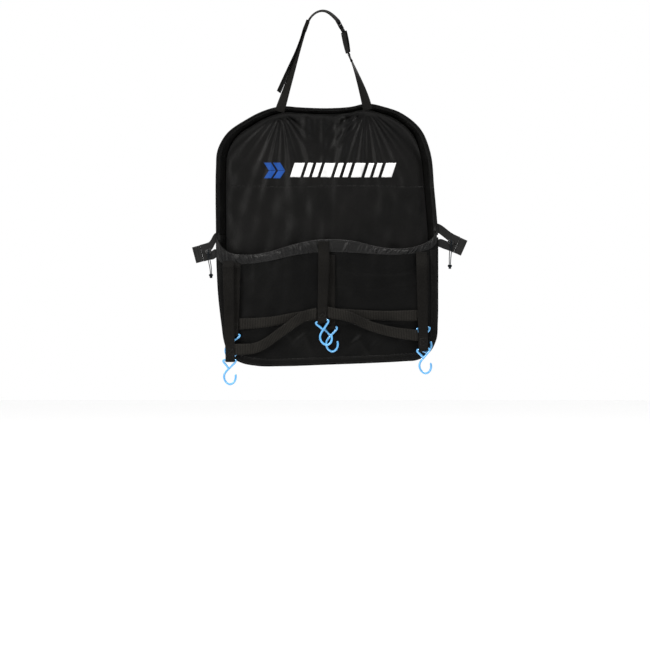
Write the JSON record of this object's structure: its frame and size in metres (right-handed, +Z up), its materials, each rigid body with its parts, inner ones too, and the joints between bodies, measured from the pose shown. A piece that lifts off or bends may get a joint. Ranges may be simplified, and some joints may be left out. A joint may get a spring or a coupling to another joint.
{
  "type": "hanging hockey equipment bag",
  "caption": "Soft clamshell equipment bag hung open from an adjustable strap, with a gathered pocket, webbing ladders and wire hooks for pads.",
  "frame": {"origin": "underside of the hanging strap at its top, in the middle of its width, where the rail or peg carries it", "axes": "+Z up along the hanging bag, front (pocket and hooks) towards -Y, +X to the right seen from the front"},
  "size_m": [0.772, 0.0839, 1.0477],
  "materials": {
    "shell_fabric": "coated nylon, low sheen",
    "lining": "thin nylon, soft sheen",
    "webbing": "ribbed webbing, matt",
    "zip_tape": "woven tape, matt",
    "elastic": "woven elastic",
    "black_plastic": "moulded, satin",
    "hook_wire": "gloss light blue coating",
    "slider_metal": "black, satin",
    "pull_cord": "braided cord"
  },
  "bodies": {
    "upper_half": {"upper_back_panel": "shell_fabric", "upper_lining": "lining", "upper_wall": "shell_fabric", "upper_zip_tape": "zip_tape", "hang_strap": "webbing", "strap_tail": "webbing", "strap_keeper": "black_plastic", "buckle_female": "black_plastic", "strap_doubled": "webbing", "strap_glide": "black_plastic", "strap_right": "webbing", "left_zip_tab": "zip_tape", "left_zip_strand_upper": "zip_tape", "left_zip_strand_lower": "zip_tape", "right_zip_tab": "zip_tape", "right_zip_strand_upper": "zip_tape", "right_zip_strand_lower": "zip_tape"},
    "lower_half": {"lower_back_panel": "shell_fabric", "lower_wall": "shell_fabric", "lower_zip_tape": "zip_tape", "pocket_front": "shell_fabric", "pocket_hem": "shell_fabric", "hem_elastic": "elastic", "front_left_anchor": "webbing", "front_centre_anchor": "webbing", "front_right_anchor": "webbing", "back_left_anchor": "webbing", "back_centre_anchor": "webbing", "back_right_anchor": "webbing"},
    "ladders": {"front_left_strap": "webbing", "front_centre_strap": "webbing", "front_right_strap": "webbing", "back_left_strap": "webbing", "back_centre_strap": "webbing", "back_right_strap": "webbing", "front_cross_left": "webbing", "front_cross_right": "webbing", "back_cross_left": "webbing", "back_cross_right": "webbing"},
    "front_left_hook": {"front_left_hook": "hook_wire"},
    "front_centre_hook": {"front_centre_hook": "hook_wire"},
    "front_right_hook": {"front_right_hook": "hook_wire"},
    "back_left_hook": {"back_left_hook": "hook_wire"},
    "back_centre_hook": {"back_centre_hook": "hook_wire"},
    "back_right_hook": {"back_right_hook": "hook_wire"},
    "buckle_male": {"buckle_male": "black_plastic"},
    "left_slider": {"left_slider": "slider_metal", "left_pull_cord": "pull_cord", "left_pull_knot": "pull_cord"},
    "right_slider": {"right_slider": "slider_metal", "right_pull_cord": "pull_cord", "right_pull_knot": "pull_cord"}
  },
  "joints": [
    {"name": "fold", "type": "hinge", "parent": "upper_half", "child": "lower_half", "pos_m": [0.0123, 0, -0.629], "axis": [-1, 0, 0], "range_deg": [0, 168]},
    {"name": "ladder_lift", "type": "hinge", "parent": "lower_half", "child": "ladders", "pos_m": [0.0123, -0.022, -0.72], "axis": [1, 0, 0], "range_deg": [-25, 0]},
    {"name": "front_left_hook_swing", "type": "hinge", "parent": "ladders", "child": "front_left_hook", "pos_m": [-0.259, -0.0285, -0.976], "axis": [1, 0, 0], "range_deg": [-60, 4]},
    {"name": "front_centre_hook_swing", "type": "hinge", "parent": "ladders", "child": "front_centre_hook", "pos_m": [-0.0015, -0.0285, -0.868], "axis": [0.9781, 0, 0.2079], "range_deg": [-60, 4]},
    {"name": "front_right_hook_swing", "type": "hinge", "parent": "ladders", "child": "front_right_hook", "pos_m": [0.2806, -0.0285, -0.946], "axis": [0.9962, 0, 0.0872], "range_deg": [-60, 4]},
    {"name": "back_left_hook_swing", "type": "hinge", "parent": "ladders", "child": "back_left_hook", "pos_m": [-0.248, -0.0155, -0.903], "axis": [0.9848, 0, -0.1736], "range_deg": [-3, 5]},
    {"name": "back_centre_hook_swing", "type": "hinge", "parent": "ladders", "child": "back_centre_hook", "pos_m": [0.0227, -0.0155, -0.885], "axis": [0.9986, 0, 0.0523], "range_deg": [-3, 5]},
    {"name": "back_right_hook_swing", "type": "hinge", "parent": "ladders", "child": "back_right_hook", "pos_m": [0.281, -0.0155, -0.887], "axis": [0.9945, 0, 0.1045], "range_deg": [-3, 5]},
    {"name": "buckle_release", "type": "slide", "parent": "upper_half", "child": "buckle_male", "axis": [0.4695, 0, -0.8829], "range_m": [0, 0.022], "deforming": ["strap_doubled"]},
    {"name": "left_slider_travel", "type": "slide", "parent": "upper_half", "child": "left_slider", "axis": [-0.9656, 0, -0.2599], "range_m": [0, 0.009]},
    {"name": "right_slider_travel", "type": "slide", "parent": "upper_half", "child": "right_slider", "axis": [0.9139, 0, -0.406], "range_m": [0, 0.009]}
  ]
}
